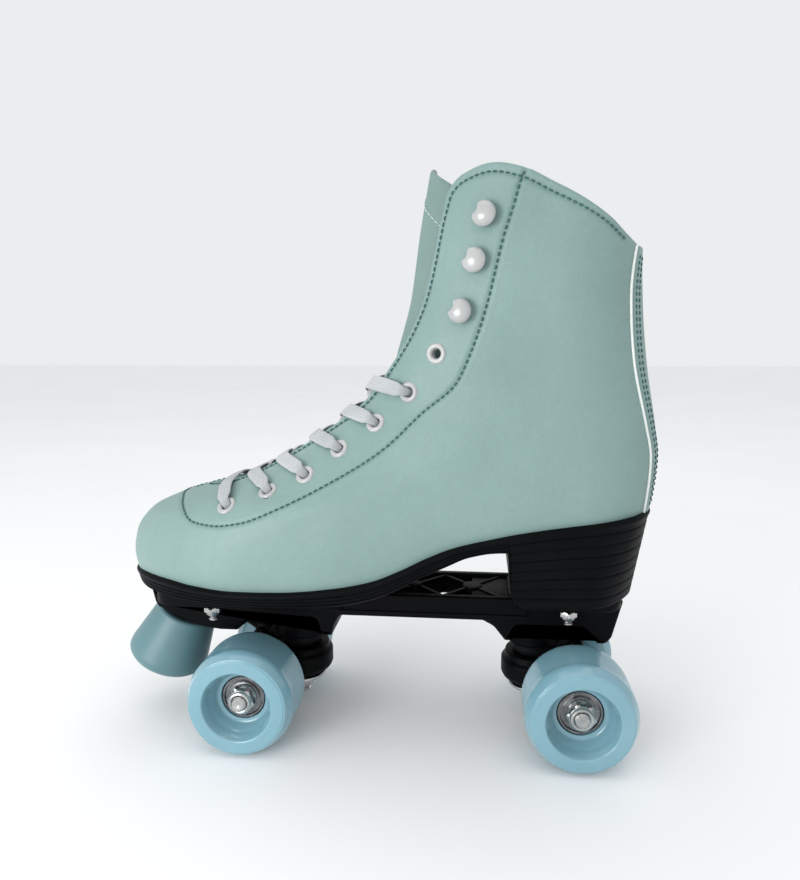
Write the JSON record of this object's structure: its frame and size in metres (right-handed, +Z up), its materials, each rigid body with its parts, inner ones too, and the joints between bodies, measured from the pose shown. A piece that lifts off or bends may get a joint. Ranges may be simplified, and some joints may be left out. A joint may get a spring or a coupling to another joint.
{
  "type": "quad roller skate",
  "caption": "High-top lace-up boot on a black moulded chassis with tilting trucks, bearing wheels and an angled toe stop.",
  "frame": {"origin": "middle of the floor footprint, at the floor under the wheels", "axes": "+X towards the toe, +Y to the wearer's left, +Z up"},
  "size_m": [0.2844, 0.0988, 0.2888],
  "materials": {
    "upper_leather": "matt embossed mint synthetic leather with teal stitching",
    "tongue_fabric": "matt mint synthetic leather, soft",
    "lining": "brushed lining fabric",
    "sole": "black moulded, satin, with layer lines",
    "lace_cotton": "flat ribbed white weave",
    "hook_enamel": "gloss white enamel",
    "chassis_nylon": "black glass-filled nylon",
    "stop_urethane": "satin light blue urethane",
    "wheel_urethane": "gloss light blue urethane",
    "cushion_urethane": "black urethane",
    "zinc": "bright zinc plate",
    "bearing_steel": "ground bearing steel and pressed shields"
  },
  "bodies": {
    "skate": {"upper": "upper_leather", "back_stay": "upper_leather", "tongue": "tongue_fabric", "outsole": "sole", "insole": "lining", "lace": "lace_cotton", "lace_hook_left_1": "hook_enamel", "lace_hook_left_2": "hook_enamel", "lace_hook_left_3": "hook_enamel", "lace_hook_right_1": "hook_enamel", "lace_hook_right_2": "hook_enamel", "lace_hook_right_3": "hook_enamel", "chassis": "chassis_nylon", "mount_bolt_front_left": "zinc", "mount_bolt_front_right": "zinc", "mount_bolt_rear_left": "zinc", "mount_bolt_rear_right": "zinc", "mount_nut_front_left": "zinc", "mount_nut_front_right": "zinc", "mount_nut_rear_left": "zinc", "mount_nut_rear_right": "zinc", "toe_stop": "stop_urethane", "toe_stop_bolt": "zinc", "front_kingpin": "zinc", "front_kingpin_nut": "zinc", "front_cushion_washer": "zinc", "front_lower_cushion": "cushion_urethane", "front_upper_cushion": "cushion_urethane", "front_pivot_cup": "cushion_urethane", "rear_kingpin": "zinc", "rear_kingpin_nut": "zinc", "rear_cushion_washer": "zinc", "rear_lower_cushion": "cushion_urethane", "rear_upper_cushion": "cushion_urethane", "rear_pivot_cup": "cushion_urethane"},
    "front_truck": {"front_hanger": "chassis_nylon", "front_axle": "zinc", "front_left_axle_nut": "zinc", "front_right_axle_nut": "zinc"},
    "front_left_wheel_set": {"front_left_wheel": "wheel_urethane", "front_left_bearing_outer": "bearing_steel", "front_left_bearing_inner": "bearing_steel"},
    "front_right_wheel_set": {"front_right_wheel": "wheel_urethane", "front_right_bearing_outer": "bearing_steel", "front_right_bearing_inner": "bearing_steel"},
    "rear_truck": {"rear_hanger": "chassis_nylon", "rear_axle": "zinc", "rear_left_axle_nut": "zinc", "rear_right_axle_nut": "zinc"},
    "rear_left_wheel_set": {"rear_left_wheel": "wheel_urethane", "rear_left_bearing_outer": "bearing_steel", "rear_left_bearing_inner": "bearing_steel"},
    "rear_right_wheel_set": {"rear_right_wheel": "wheel_urethane", "rear_right_bearing_outer": "bearing_steel", "rear_right_bearing_inner": "bearing_steel"}
  },
  "joints": [
    {"name": "front_truck_tilt", "type": "hinge", "parent": "skate", "child": "front_truck", "pos_m": [0.0427, 0, 0.0332], "axis": [0.8304, 0, 0.5572], "range_deg": [-8, 8], "stiffness_Nm_per_rad": 25, "deforming": ["front_lower_cushion", "front_upper_cushion"]},
    {"name": "front_left_wheel_spin", "type": "hinge", "parent": "front_truck", "child": "front_left_wheel_set", "pos_m": [0.0627, 0.0334, 0.027], "axis": [0, 1, 0], "continuous": true},
    {"name": "front_right_wheel_spin", "type": "hinge", "parent": "front_truck", "child": "front_right_wheel_set", "pos_m": [0.0627, -0.0334, 0.027], "axis": [0, 1, 0], "continuous": true},
    {"name": "rear_truck_tilt", "type": "hinge", "parent": "skate", "child": "rear_truck", "pos_m": [-0.0837, 0, 0.0332], "axis": [-0.8304, 0, 0.5572], "range_deg": [-8, 8], "stiffness_Nm_per_rad": 25, "deforming": ["rear_lower_cushion", "rear_upper_cushion"]},
    {"name": "rear_left_wheel_spin", "type": "hinge", "parent": "rear_truck", "child": "rear_left_wheel_set", "pos_m": [-0.1037, 0.0334, 0.027], "axis": [0, 1, 0], "continuous": true},
    {"name": "rear_right_wheel_spin", "type": "hinge", "parent": "rear_truck", "child": "rear_right_wheel_set", "pos_m": [-0.1037, -0.0334, 0.027], "axis": [0, 1, 0], "continuous": true}
  ]
}
